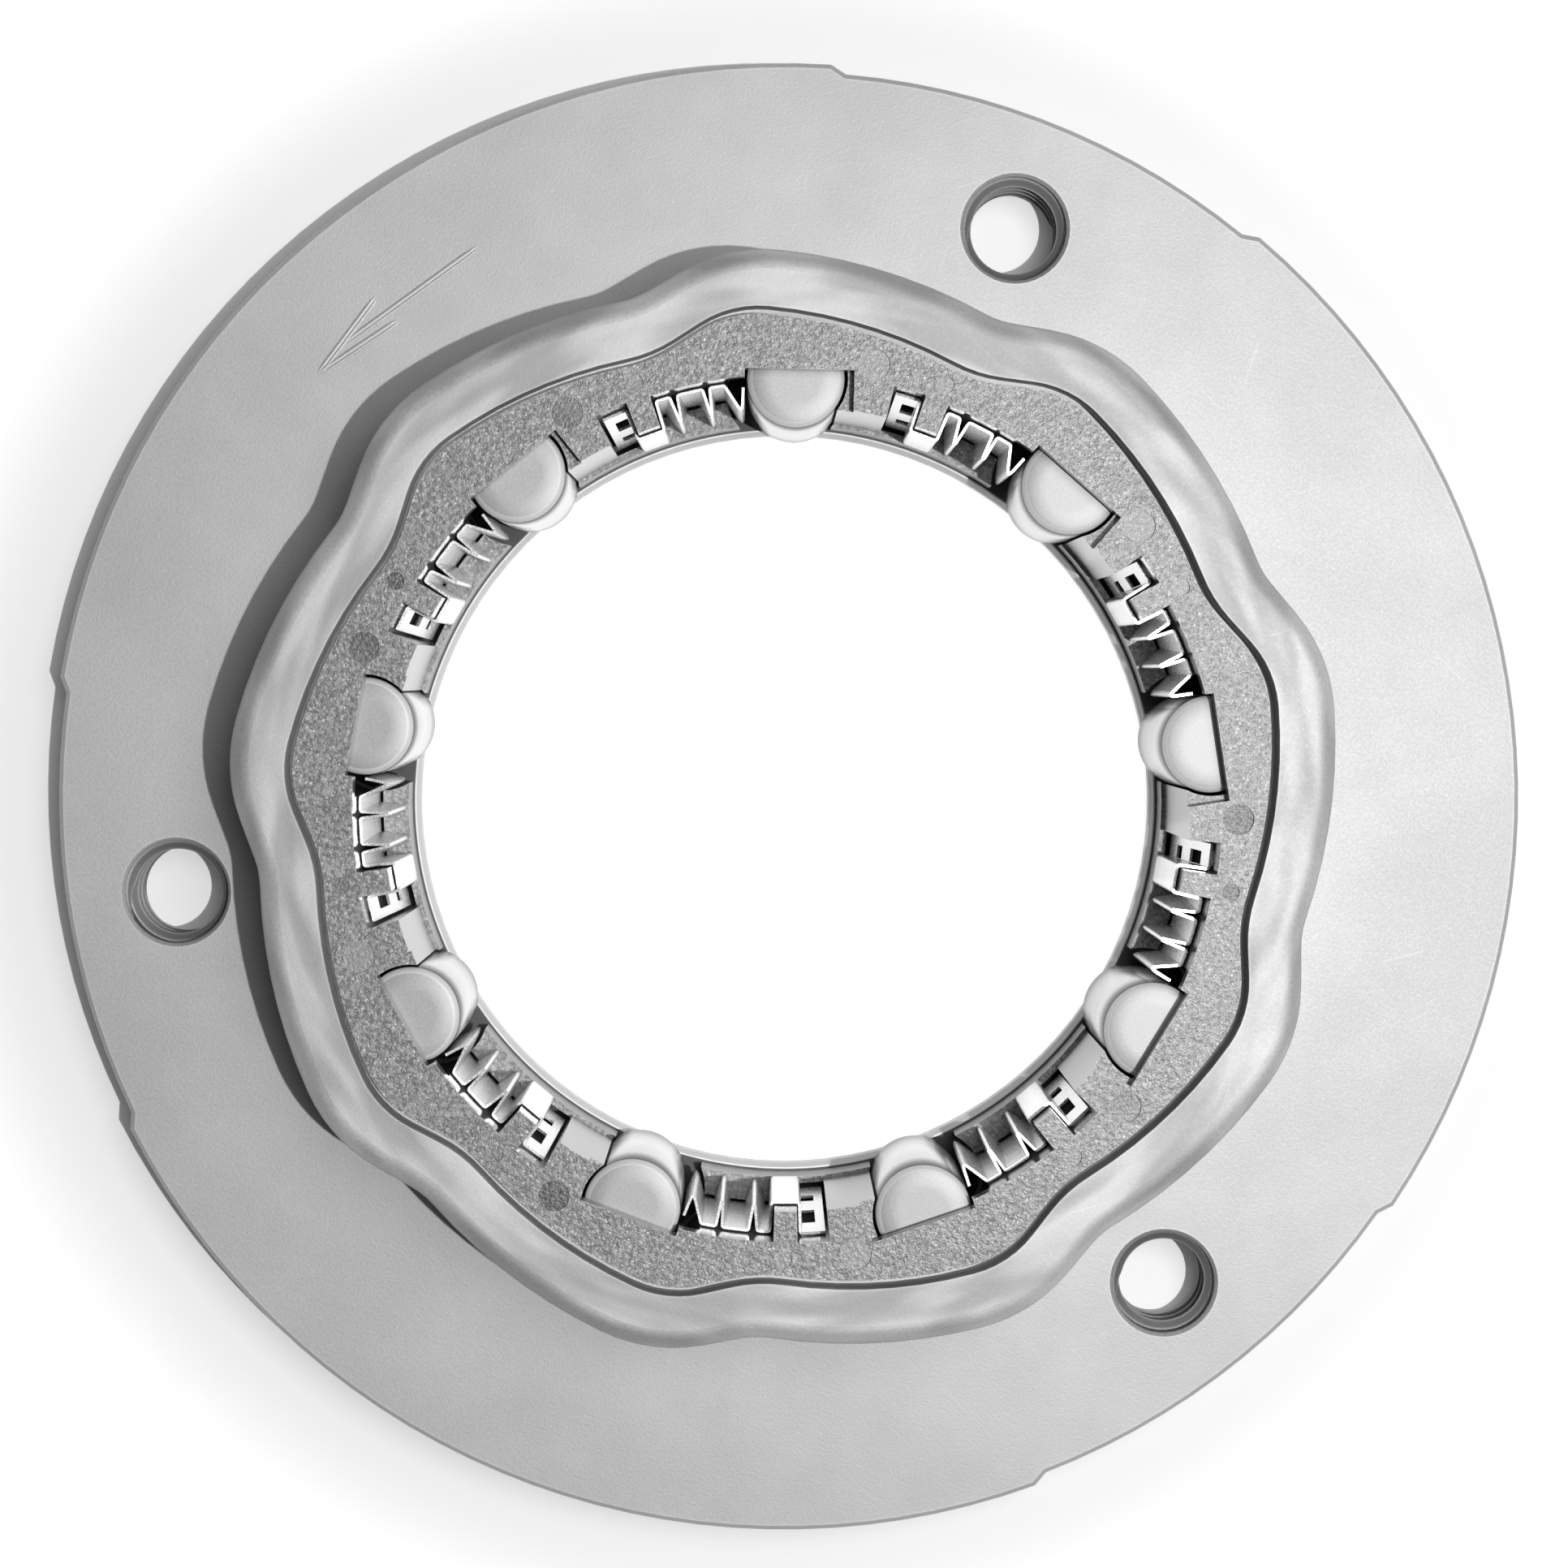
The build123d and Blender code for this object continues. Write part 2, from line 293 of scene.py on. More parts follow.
def grain_group():
    """Fine grain, slow mottling and bright specks of a surface."""
    defaults = {"Grain Size": 0.2 * MM, "Mottle Size": 6 * MM, "Speck Share": 0.2}
    group, given, out = new_group("Surface grain", defaults, ("Grain", "Mottle", "Specks"))
    place = object_place(group)
    fine = calculate(group, "DIVIDE", 1.0, given["Grain Size"])
    coarse = calculate(group, "DIVIDE", 1.0, given["Mottle Size"])
    link(group, noise(group, place, fine, detail=3.0, roughness=0.65), out["Grain"])
    slow = noise(group, place, coarse, detail=4.0, roughness=0.6)
    link(group, remap(group, slow, 0.3, 0.7), out["Mottle"])
    cells = add_node(group, "ShaderNodeTexVoronoi", feature="F1")
    link(group, place, cells.inputs["Vector"])
    link(group, fine, cells.inputs["Scale"])
    chosen = add_node(group, "ShaderNodeSeparateColor")
    link(group, cells.outputs["Color"], chosen.inputs[0])
    share = calculate(group, "LESS_THAN", chosen.outputs[0], given["Speck Share"])
    spot = remap(group, cells.outputs["Distance"], 0.45, 0.15)
    link(group, calculate(group, "MULTIPLY", share, spot), out["Specks"])
    return group


def edge_wear_and_sheen_group():
    """Mask of edges, where the surface turns within a short distance, for their wear and their
    painted highlight.
    """
    group, given, out = new_group("Edge wear and sheen", {"Width": 0.3 * MM}, ("Mask",))
    bevel = add_node(group, "ShaderNodeBevel", samples=4)
    link(group, given["Width"], bevel.inputs["Radius"])
    flat = add_node(group, "ShaderNodeNewGeometry").outputs["Normal"]
    turn = add_node(group, "ShaderNodeVectorMath", operation="DOT_PRODUCT")
    link(group, bevel.outputs["Normal"], turn.inputs[0])
    link(group, flat, turn.inputs[1])
    link(group, remap(group, turn.outputs["Value"], 0.995, 0.9), out["Mask"])
    return group


SCRATCH_TURNS = (0.4, 1.5, 2.5)


def handling_group():
    """Faint scratches and smudges from handling."""
    defaults = {"Scratch Length": 6 * MM, "Scratch Width": 0.12 * MM}
    group, given, out = new_group("Handling marks", defaults, ("Scratches", "Smudges"))
    place = object_place(group)
    along = calculate(group, "DIVIDE", 1.0, given["Scratch Length"])
    across = calculate(group, "DIVIDE", 1.0, given["Scratch Width"])
    total = None
    for turn in SCRATCH_TURNS:
        spun = add_node(group, "ShaderNodeVectorRotate", {"Angle": turn}, rotation_type="Z_AXIS")
        link(group, place, spun.inputs["Vector"])
        stretch = add_node(group, "ShaderNodeCombineXYZ")
        link(group, along, stretch.inputs[0])
        link(group, across, stretch.inputs[1])
        link(group, along, stretch.inputs[2])
        scaled = add_node(group, "ShaderNodeVectorMath", operation="MULTIPLY")
        link(group, spun.outputs[0], scaled.inputs[0])
        link(group, stretch.outputs[0], scaled.inputs[1])
        line = remap(group, noise(group, scaled.outputs[0], scale=1.0, detail=1.0), 0.70, 0.78)
        total = line if total is None else calculate(group, "MAXIMUM", total, line)
    link(group, total, out["Scratches"])
    smudges = noise(group, place, scale=90.0, detail=3.0, roughness=0.6)
    link(group, remap(group, smudges, 0.52, 0.72), out["Smudges"])
    return group


def shared(name, build):
    """Node group by name, built the first time it is asked for."""
    return bpy.data.node_groups.get(name) or build()


def place_group(tree, name, build, **values):
    """Shared group placed in a material with its own values."""
    made = add_node(tree, "ShaderNodeGroup")
    made.node_tree = shared(name, build)
    for socket, value in values.items():
        made.inputs[socket.replace("_", " ")].default_value = value
    return made.outputs


def new_material(name, metallic):
    """Empty material with its shader."""
    material = bpy.data.materials.new(name)
    material.use_nodes = True
    tree = material.node_tree
    tree.nodes.clear()
    shader = add_node(tree, "ShaderNodeBsdfPrincipled", {"Metallic": metallic})
    output = add_node(tree, "ShaderNodeOutputMaterial")
    link(tree, shader.outputs[0], output.inputs["Surface"])
    return material, tree, shader.inputs


def add_bump(tree, surface, height, distance, strength):
    """Bump of a height socket on a shader's normal."""
    bump = add_node(tree, "ShaderNodeBump", {"Strength": strength, "Distance": distance})
    link(tree, height, bump.inputs["Height"])
    link(tree, bump.outputs["Normal"], surface["Normal"])


def split_place(tree):
    """The three parts of a point's place, and its distance from the clutch's axis."""
    parts = add_node(tree, "ShaderNodeSeparateXYZ")
    link(tree, object_place(tree), parts.inputs[0])
    x, y, z = parts.outputs
    return x, y, z, diagonal(tree, x, y)


def diagonal(tree, first, second):
    """Length of the line with two sides at a right angle."""
    squares = calculate(tree, "ADD", calculate(tree, "MULTIPLY", first, first),
                        calculate(tree, "MULTIPLY", second, second))
    return calculate(tree, "SQRT", squares)


def levelness(tree):
    """How level a face lies: 1 looking straight up or down, 0 on a wall."""
    facing = add_node(tree, "ShaderNodeSeparateXYZ")
    link(tree, add_node(tree, "ShaderNodeNewGeometry").outputs["Normal"], facing.inputs[0])
    return calculate(tree, "ABSOLUTE", facing.outputs[2])


def along_ring(tree, length, width):
    """Vector that stretches a texture along the ring: its spots have this length and width."""
    x, y, _, radius = split_place(tree)
    vector = add_node(tree, "ShaderNodeCombineXYZ")
    for index, part in enumerate((x, y)):
        share = calculate(tree, "DIVIDE", part, radius)
        link(tree, calculate(tree, "MULTIPLY", share, RIM_R / length), vector.inputs[index])
    link(tree, calculate(tree, "DIVIDE", radius, width), vector.inputs[2])
    return vector.outputs[0]


def hole_shade_mask(tree):
    """Mask of the tapped holes' walls, where shade is painted, worked out in one sector of the bolt
    circle.
    """
    x, y, height_of, radius = split_place(tree)
    sector = 2 * math.pi / BOLTS["count"]
    turned = calculate(tree, "SUBTRACT", calculate(tree, "ARCTAN2", y, x), math.radians(BOLT_ANGLE))
    turned = calculate(tree, "WRAP", turned, sector / 2, -sector / 2)
    out = calculate(tree, "MULTIPLY", radius, calculate(tree, "COSINE", turned))
    out = calculate(tree, "SUBTRACT", out, BOLT_CIRCLE_R)
    side = calculate(tree, "MULTIPLY", radius, calculate(tree, "SINE", turned))
    away = diagonal(tree, out, side)
    wall = remap(tree, away, BOLT_HOLE_R + HOLE_EDGE[1], BOLT_HOLE_R + HOLE_EDGE[0])
    return calculate(tree, "MULTIPLY", wall, remap(tree, height_of, HOLE_MOUTH[1], HOLE_MOUTH[0]))


def ring_steel():
    """Satin tumbled steel: fine speckle, rim bands of random tone and painted sheen, worn edges
    with a painted highlight, painted shade in the hole walls and the web's corner, painted light on
    the web's lip, faint marks.
    """
    colours = bpy.context.scene.clutch_colours
    material, tree, surface = new_material("Satin ring steel", 0.5)
    grain = place_group(tree, "Surface grain", grain_group, Grain_Size=0.16 * MM,
                        Mottle_Size=9 * MM, Speck_Share=0.12)
    wear_and_sheen = place_group(tree, "Edge wear and sheen", edge_wear_and_sheen_group, Width=0.25 * MM)
    marks = place_group(tree, "Handling marks", handling_group)
    _, _, height_of, radius = split_place(tree)
    rim = remap(tree, height_of, *RIM_HEIGHTS)
    bands = noise(tree, along_ring(tree, length=6.5 * MM, width=1.5 * MM), scale=1.0, detail=1.0)
    base = mix_colour(tree, grain["Mottle"], colours.steel, colours.steel_light)
    speckle = remap(tree, grain["Grain"], 0.3, 0.7, 0.93, 1.06)
    base = mix_colour(tree, 1.0, base, speckle, "MULTIPLY")
    base = tint(tree, base, grain["Specks"], share=0.14, tone=0.85)
    # Bands along the rim's top: a random tone and a painted sheen and shade that lighten and darken
    # the rim
    tone = remap(tree, bands, 0.32, 0.68, 0.78, 1.18)
    base = mix_colour(tree, rim, base, mix_colour(tree, 1.0, base, tone, "MULTIPLY"))
    # Edges lighter: partly wear, partly a painted highlight
    base = tint(tree, base, wear_and_sheen["Mask"], share=0.4, tone=0.82)
    base = tint(tree, base, marks["Smudges"], share=0.08, tone=0.36)
    low = remap(tree, height_of, WEB_TOP[1], WEB_TOP[0])
    # Painted light: a lighter strip on the web's lip at the bore
    lip = calculate(tree, "MULTIPLY", remap(tree, radius, WEB_LIP_LIGHT_R[1], WEB_LIP_LIGHT_R[0]), low)
    base = tint(tree, base, lip, share=0.8, tone=0.85)
    # Painted shade: a dark line in the corner where the cage's foot stands on the web
    corner = calculate(tree, "MULTIPLY", remap(tree, radius, *WEB_CORNER_SHADE_R), low)
    base = tint(tree, base, corner, share=0.9, tone=0.04)
    # Painted shade on the hole walls and their threads, held back at their edges
    cut = calculate(tree, "SUBTRACT", 1.0, calculate(tree, "MULTIPLY", wear_and_sheen["Mask"], 0.8))
    base = tint(tree, base, hole_shade_mask(tree), share=cut, tone=0.19)
    link(tree, base, surface["Base Color"])
    rough = remap(tree, grain["Grain"], 0.25, 0.75, 0.54, 0.64)
    rough = calculate(tree, "ADD", rough, calculate(tree, "MULTIPLY", rim, 0.04))
    polish = calculate(tree, "MULTIPLY", marks["Scratches"], 0.03)
    rough = calculate(tree, "SUBTRACT", rough, polish)
    link(tree, rough, surface["Roughness"])
    scratches = calculate(tree, "MULTIPLY", marks["Scratches"], 0.1)
    height = calculate(tree, "SUBTRACT", grain["Grain"], scratches)
    waves = calculate(tree, "MULTIPLY", calculate(tree, "MULTIPLY", bands, rim), 6.0)
    height = calculate(tree, "ADD", height, waves)
    add_bump(tree, surface, height, distance=0.02 * MM, strength=0.6)
    return material


def cage_plastic():
    """Glass-filled plastic: fibrous level faces and foot, painted light on the foot's walls, edges
    worn and with a painted sheen, smooth walls, darker mottled ejector pits.
    """
    colours = bpy.context.scene.clutch_colours
    material, tree, surface = new_material("Glass-filled cage plastic", 0.0)
    grain = place_group(tree, "Surface grain", grain_group, Grain_Size=0.22 * MM,
                        Mottle_Size=4 * MM, Speck_Share=0.22)
    wear_and_sheen = place_group(tree, "Edge wear and sheen", edge_wear_and_sheen_group, Width=0.12 * MM)
    level = remap(tree, levelness(tree), 0.5, 0.9)
    height_of = split_place(tree)[2]
    above = remap(tree, height_of, *CAGE_FOOT_TOP)
    foot = calculate(tree, "SUBTRACT", 1.0, above)
    foot_wall_painted_light = calculate(tree, "MULTIPLY", foot, calculate(tree, "SUBTRACT", 1.0, level))
    level = calculate(tree, "MAXIMUM", level, foot)
    wall = calculate(tree, "SUBTRACT", 1.0, level)
    fibres = remap(tree, grain["Grain"], 0.34, 0.72)
    fibres = calculate(tree, "ADD", calculate(tree, "MULTIPLY", fibres, 0.62),
                       calculate(tree, "MULTIPLY", grain["Specks"], 0.9), clamp=True)
    fibres = calculate(tree, "MULTIPLY", fibres, remap(tree, level, 0.0, 1.0, 0.1, 1.0))
    base = mix_colour(tree, fibres, colours.cage, colours.fibre)
    # Edges towards the fibres' colour: partly wear, partly a painted sheen
    base = mix_colour(tree, calculate(tree, "MULTIPLY", wear_and_sheen["Mask"], 0.3), base, colours.fibre)
    base = tint(tree, base, grain["Mottle"], share=0.15, tone=0.25)
    base = tint(tree, base, wall, share=0.8, tone=0.22)
    # Painted light: the foot's walls made lighter, as light as the lit top
    base = tint(tree, base, foot_wall_painted_light, share=0.7, tone=0.66)
    sunk = calculate(tree, "MULTIPLY", remap(tree, height_of, *EJECTOR_FLOOR),
                     remap(tree, height_of, PLATE_TOP[1], PLATE_TOP[0]))
    sunk = calculate(tree, "MULTIPLY", sunk, level)
    # Floors of the ejector pits: darker and mottled
    dark_pit_mottle = remap(tree, noise(tree, object_place(tree), scale=60.0, detail=1.0), 0.4, 0.6)
    dark_pit_mottle = mix_colour(tree, dark_pit_mottle, grey(0.03), grey(0.32))
    base = mix_colour(tree, calculate(tree, "MULTIPLY", sunk, 0.7), base, dark_pit_mottle)
    link(tree, base, surface["Base Color"])
    link(tree, remap(tree, level, 0.0, 1.0, 0.2, 0.29), surface["Roughness"])
    surface["IOR"].default_value = 1.6
    link(tree, calculate(tree, "MULTIPLY", wall, 0.25), surface["Coat Weight"])
    surface["Coat Roughness"].default_value = 0.15
    height = calculate(tree, "MULTIPLY", grain["Grain"], remap(tree, level, 0.0, 1.0, 0.01, 1.0))
    add_bump(tree, surface, height, distance=0.08 * MM, strength=0.7)
    return material


def roller_steel():
    """Ground bearing steel: matt end faces, chamfers with a painted highlight, a painted dark line
    on the round below them, smooth side.
    """
    colours = bpy.context.scene.clutch_colours
    material, tree, surface = new_material("Ground roller steel", 0.6)
    grain = place_group(tree, "Surface grain", grain_group, Grain_Size=0.12 * MM,
                        Mottle_Size=3 * MM, Speck_Share=0.1)
    spots = noise(tree, object_place(tree), scale=4500.0, detail=3.0, roughness=0.6)
    level = levelness(tree)
    end = remap(tree, level, 0.85, 0.99)
    sloping = remap(tree, level, 0.45, 0.6)
    chamfer = calculate(tree, "SUBTRACT", sloping, end)
    line = calculate(tree, "SUBTRACT", remap(tree, level, 0.08, 0.16), sloping)
    base = tint(tree, colours.roller, grain["Mottle"], share=0.3, tone=0.62)
    base = tint(tree, base, end, share=0.9, tone=0.36)
    # Painted highlight: the chamfers made nearly white
    base = mix_colour(tree, chamfer, base, grey(0.95))
    # Painted shade: a dark line on the round below each chamfer
    base = mix_colour(tree, line, base, grey(0.05))
    speckle = remap(tree, grain["Grain"], 0.3, 0.7, 0.9, 1.08)
    base = mix_colour(tree, end, base, mix_colour(tree, 1.0, base, speckle, "MULTIPLY"))
    link(tree, base, surface["Base Color"])
    rough = remap(tree, end, 0.0, 1.0, 0.2, 0.50)
    rough = calculate(tree, "ADD", rough, calculate(tree, "MULTIPLY", chamfer, 0.4))
    rough = calculate(tree, "ADD", rough, calculate(tree, "MULTIPLY", grain["Grain"], 0.08))
    link(tree, rough, surface["Roughness"])
    height = calculate(tree, "ADD", calculate(tree, "MULTIPLY", spots, end),
                       calculate(tree, "MULTIPLY", grain["Grain"], 0.6))
    add_bump(tree, surface, height, distance=0.008 * MM, strength=0.5)
    return material


def spring_steel():
    """Bright rolled strip: polished faces with a faint grain."""
    colours = bpy.context.scene.clutch_colours
    material, tree, surface = new_material("Bright spring strip", 0.7)
    grain = place_group(tree, "Surface grain", grain_group, Grain_Size=0.1 * MM,
                        Mottle_Size=2 * MM, Speck_Share=0.05)
    base = tint(tree, colours.spring, grain["Mottle"], share=0.35, tone=0.72)
    link(tree, base, surface["Base Color"])
    link(tree, remap(tree, grain["Grain"], 0.3, 0.7, 0.22, 0.32), surface["Roughness"])
    add_bump(tree, surface, grain["Grain"], distance=0.006 * MM, strength=0.5)
    return material


def finish(name, build):
    """Material by name, built the first time it is asked for."""
    return bpy.data.materials.get(name) or build()


def dress(node, material):
    """Give a CAD node its finish."""
    obj = frame["nodes"][node]
    if not obj.material_slots:
        obj.data.materials.append(material)
    for slot in obj.material_slots:
        slot.material = material


# Mesh helpers

def new_piece(name, vertices, faces, material, smooth_angle=None):
    """Mesh object from vertices and faces."""
    mesh = bpy.data.meshes.new(name)
    mesh.from_pydata([tuple(v) for v in vertices], [], faces)
    mesh.materials.append(material)
    mesh.validate()
    obj = bpy.data.objects.new(name, mesh)
    bpy.context.scene.collection.objects.link(obj)
    if smooth_angle is not None:
        mesh.shade_smooth()
        mesh.set_sharp_from_angle(angle=smooth_angle)
    return obj


def grid_faces(rows, columns, close_columns=False):
    """Quads of a grid of vertices, row by row."""
    faces = []
    for row in range(rows - 1):
        for column in range(columns if close_columns else columns - 1):
            a = row * columns + column
            b = row * columns + (column + 1) % columns
            c = (row + 1) * columns + (column + 1) % columns
            d = (row + 1) * columns + column
            faces.append((a, b, c, d))
    return faces


def recalculate(obj):
    """Turn the faces of a closed mesh outward."""
    made = bmesh.new()
    made.from_mesh(obj.data)
    bmesh.ops.recalc_face_normals(made, faces=made.faces)
    made.to_mesh(obj.data)
    made.free()


# Threads and direction arrow on the outer ring

THREAD_STEPS = 48           # sections in a turn
THREAD_FADE = 8             # a ridge rises to its full height in this fraction of a turn: 1 in 8
THREAD_BASE = 0.36          # half width of a ridge's base, in pitches
THREAD_SINK = 0.01 * MM     # how far a ridge's base lies inside the hole's wall
THREAD_END = 0.42 * MM      # distance of a ridge's ends from the flange's faces


def thread_piece(number, centre, low, high, material):
    """Helical ridge of a tapped hole, tapering out at both ends."""
    sizes = bpy.context.scene.clutch_sizes
    base_r = BOLT_HOLE_R + THREAD_SINK
    turns = (high - low) / sizes.thread_pitch
    steps = int(turns * THREAD_STEPS)
    vertices = []
    for step in range(steps + 1):
        share = step / steps
        angle = 360 * step / THREAD_STEPS
        z = low + (high - low) * share
        fade = min(1.0, share * turns * THREAD_FADE, (1 - share) * turns * THREAD_FADE)
        crest_r = BOLT_HOLE_R - (BOLT_HOLE_R - sizes.thread_minor_r) * max(fade, 0.02)
        half_base = sizes.thread_pitch * THREAD_BASE * (0.4 + 0.6 * fade)
        half_crest = sizes.thread_crest / 2
        for radius, shift in ((base_r, -half_base), (crest_r, -half_crest),
                              (crest_r, half_crest), (base_r, half_base)):
            vertices.append(centre + polar(radius, angle, z + shift))
    faces = grid_faces(steps + 1, 4, close_columns=True)
    last = steps * 4
    faces += [(3, 2, 1, 0), (last, last + 1, last + 2, last + 3)]
    piece = new_piece(f"thread_{number}", vertices, faces, material, math.radians(35))
    recalculate(piece)
    return piece


# Ends of the arrow's shaft and barbs, in millimetres
ARROW_LINES = (
    ((-28.56, 23.41), (-33.70, 15.33)),
    ((-34.46, 13.18), (-32.99, 18.49)),
    ((-34.46, 13.18), (-31.32, 17.71)),
)
ENGRAVING_STEP = 0.25 * MM
ENGRAVING_FADE = 9          # a line rises to its full width in this fraction of its length: 1 in 9
# Section of an engraved line: places in half widths, heights in lips
ENGRAVING_SECTION = (
    (-1.75, -0.01), (-1.2, 0.75), (-0.85, 1.0), (-0.35, 0.18), (0.0, 0.06),
    (0.35, 0.18), (0.85, 1.0), (1.2, 0.75), (1.75, -0.01),
)


def engraved_line(start, end, top, seed):
    """Section rows of an engraved line: two raised lips with a groove between them."""
    sizes = bpy.context.scene.clutch_sizes
    draw = random.Random(seed)
    start, end = Vector(start) * MM, Vector(end) * MM
    along = (end - start).normalized()
    across = Vector((-along.y, along.x))
    steps = max(8, int((end - start).length / ENGRAVING_STEP))
    rows = []
    for step in range(steps + 1):
        share = step / steps
        fade = min(1.0, share * ENGRAVING_FADE, (1 - share) * ENGRAVING_FADE) ** 0.5
        half = sizes.engraving_w / 2 * (0.45 + 0.55 * fade)
        lip = sizes.engraving_lip * (0.3 + 0.7 * fade) * draw.uniform(0.92, 1.06)
        middle = start.lerp(end, share)
        row = []
        for offset, height in ENGRAVING_SECTION:
            spot = middle + across * (offset * half)
            row.append(Vector((spot.x, spot.y, top + height * lip)))
        rows.append(row)
    return rows


def arrow_piece(material):
    """The engraved direction arrow on the flange."""
    top = flange_top()
    vertices, faces = [], []
    for number, (start, end) in enumerate(ARROW_LINES):
        rows = engraved_line(start, end, top, number)
        columns = len(rows[0])
        base = len(vertices)
        for row in rows:
            vertices += row
        faces += [tuple(base + i for i in face) for face in grid_faces(len(rows), columns)]
        faces.append(tuple(base + i for i in reversed(range(columns))))
        faces.append(tuple(base + (len(rows) - 1) * columns + i for i in range(columns)))
    return new_piece("direction_arrow", vertices, faces, material, math.radians(50))


def flange_top():
    """Height of the flange's upper face: the ring's highest point outside the bolt circle."""
    vertices = frame["nodes"]["outer_ring"].data.vertices
    return max(v.co.z for v in vertices if math.hypot(v.co.x, v.co.y) > BOLT_CIRCLE_R)


class CLUTCH_OT_ring(bpy.types.Operator):
    """Finish the outer ring and add its threads and direction arrow"""
    bl_idname = "clutch.ring"
    bl_label = "Outer ring"

    def execute(self, context):
        steel = finish("Satin ring steel", ring_steel)
        dress("outer_ring", steel)
        top = flange_top()
        for number in range(BOLTS["count"]):
            centre = polar(BOLT_CIRCLE_R, BOLT_ANGLE + 360 * number / BOLTS["count"])
            piece = thread_piece(number + 1, centre, THREAD_END, top - THREAD_END, steel)
            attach(piece, "root")
        arrow = arrow_piece(steel)
        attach(arrow, "root")
        return {"FINISHED"}


class CLUTCH_OT_cage(bpy.types.Operator):
    """Finish the moulded cage"""
    bl_idname = "clutch.cage"
    bl_label = "Cage"

    def execute(self, context):
        dress("cage", finish("Glass-filled cage plastic", cage_plastic))
        return {"FINISHED"}


# Rollers

ROLLER_SEGMENTS = 96
ROLLER_CHAMFER = 0.3 * MM
ROLLER_ROUND = 0.1 * MM
ROUND_SHARE = 0.35          # share of the round by which a chamfer's corner is cut back


def roller_piece(number, material):
    """Ground roller turned as a fine lathe form, about its own axis."""
    low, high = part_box(f"roller_{number}")
    radius = (high.x - low.x) / 2
    half = (high.z - low.z) / 2
    inset = ROLLER_CHAMFER + ROLLER_ROUND
    soft = ROLLER_ROUND * ROUND_SHARE
    rows = [(radius * 0.5, half), (radius - inset, half), (radius - ROLLER_CHAMFER, half - soft),
            (radius - soft, half - ROLLER_CHAMFER), (radius, half - inset)]
    rows += [(r, -z) for r, z in reversed(rows)]
    vertices = [Vector((0, 0, half))]
    for r, z in rows:
        for segment in range(ROLLER_SEGMENTS):
            vertices.append(polar(r, 360 * segment / ROLLER_SEGMENTS, z))
    vertices.append(Vector((0, 0, -half)))
    side = grid_faces(len(rows), ROLLER_SEGMENTS, close_columns=True)
    faces = [tuple(1 + i for i in face) for face in side]
    last = len(vertices) - 1
    low_row = last - ROLLER_SEGMENTS
    for segment in range(ROLLER_SEGMENTS):
        after = (segment + 1) % ROLLER_SEGMENTS
        faces.append((0, 1 + segment, 1 + after))
        faces.append((last, low_row + after, low_row + segment))
    piece = new_piece(f"ground_roller_{number}", vertices, faces, material, math.radians(40))
    recalculate(piece)
    piece.location = (low + high) / 2
    return piece


class CLUTCH_OT_rollers(bpy.types.Operator):
    """Turn and finish the rollers"""
    bl_idname = "clutch.rollers"
    bl_label = "Rollers"

    def execute(self, context):
        steel = finish("Ground roller steel", roller_steel)
        for number in range(1, STATIONS + 1):
            dress(f"roller_{number}", steel)
            piece = roller_piece(number, steel)
            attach(piece, f"roller_{number}")
            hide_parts(f"roller_{number}")
        return {"FINISHED"}


# Folded strip springs

# Places along the strip in degrees from its roller's middle
FOLDS = ((18.3, 16.6, 15.6), (13.3, 12.0, 11.3))
CLOSINGS = ((1.0, 0.45), (0.75, 0.35))      # how much further each fold closes at its upper edge
POST_FRONT, POST_BACK = 19.1, 23.1
TAB_END = 26.5
LAST_FLAT_END, LAST_TIP = 9.6, 8.5
HOOK_LEAN = 0.1             # how far the strip leans towards the roller as it leaves the post
FOLD_TIP = 0.12             # half width of a fold's inner tip
LEAN_SPREAD = 0.2           # chance lean of a fold, either way
SHIFT_SPREAD = 0.15         # chance shift of a fold along the strip, either way

# Shares of the strip's height and of the tab's length
TAB_SLOTS = ((0.19, 0.315), (0.525, 0.80))
LEVELS = sorted({0.0, 0.095, 0.42, 0.66, 0.9, 1.0, *(edge for slot in TAB_SLOTS for edge in slot)})
SLOT_START = 0.42           # where the slots begin, from the tab's free end

BEND_STEPS = 4
BEND_SHARE = 0.45           # most of a straight stretch that the bend at its end may take
RISE_MOST = 0.12 * MM       # most by which a fold's inner tip stands back, by chance
FOOT_TIP_SHARE = 0.985      # radius of the last fold's tip as a share of the inner folds' radius
FOOT_TIP_SHIFT = 0.02 * MM  # shift of that tip along the strip, away from the roller
FOOT_END_DEPTH = 0.42 * MM  # how far the leaf's end stands inside the outer folds


def rounded_route(points, radius):
    """Route of points with each bend turned on a small curve."""
    route = [points[0]]
    for before, corner, after in zip(points, points[1:], points[2:]):
        a, b = (before - corner), (after - corner)
        half = a.angle(b) / 2
        reach = min(radius / math.tan(half), a.length * BEND_SHARE, b.length * BEND_SHARE)
        a, b = a.normalized() * reach, b.normalized() * reach
        for step in range(BEND_STEPS + 1):
            t = step / BEND_STEPS
            route.append(corner + a * (1 - t) ** 2 + b * t ** 2)
    route.append(points[-1])
    return route


